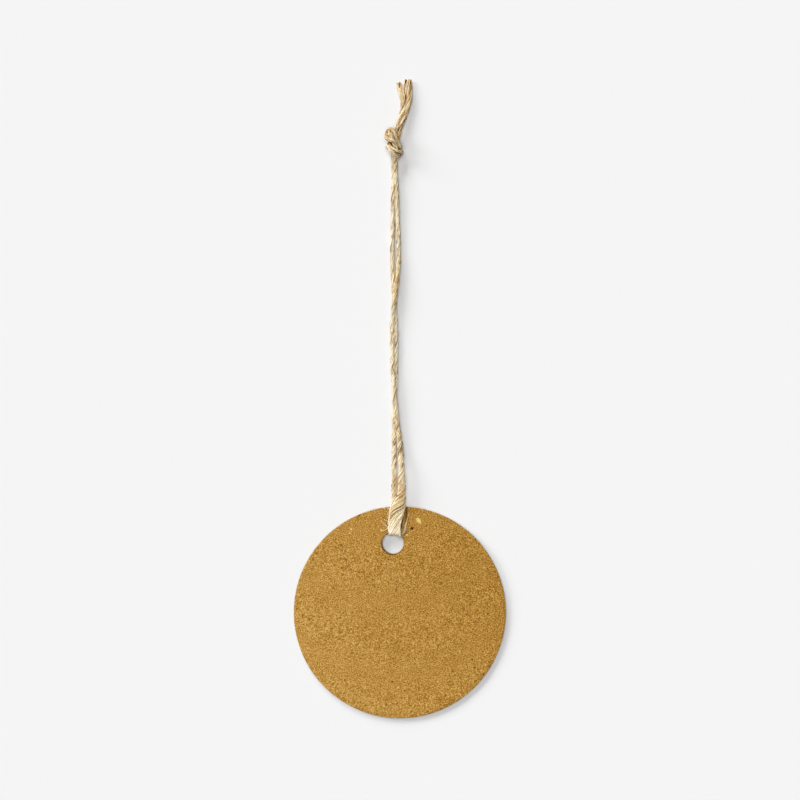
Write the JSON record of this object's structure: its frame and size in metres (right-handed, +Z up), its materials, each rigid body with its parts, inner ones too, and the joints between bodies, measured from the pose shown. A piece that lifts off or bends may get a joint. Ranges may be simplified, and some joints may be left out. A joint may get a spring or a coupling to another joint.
{
  "type": "gift tag",
  "caption": "Round kraft card gift tag with a punched hole, threaded on a doubled jute twine loop that is closed by an overhand knot with cut tails.",
  "frame": {"origin": "on the table under the middle of the card, which lies face up with its low rim on the table and its hole end raised on the twine", "axes": "+Z up out of the table through the card's face, +Y from the card's middle through its hole, +X to the right seen from above"},
  "size_m": [0.05, 0.1495, 0.0045],
  "materials": {
    "kraft_card": "matte",
    "jute_twine": "matte"
  },
  "bodies": {
    "card": {"tag_card": "kraft_card"},
    "twine": {"twine_loop": "jute_twine", "twine_knot": "jute_twine", "twine_tail_right": "jute_twine", "twine_tail_left": "jute_twine"}
  },
  "joints": [
    {"name": "card_swivel", "type": "hinge", "parent": "card", "child": "twine", "pos_m": [0, 0.0164, 0], "axis": [0, 0, 1], "range_deg": [-80, 80]}
  ]
}
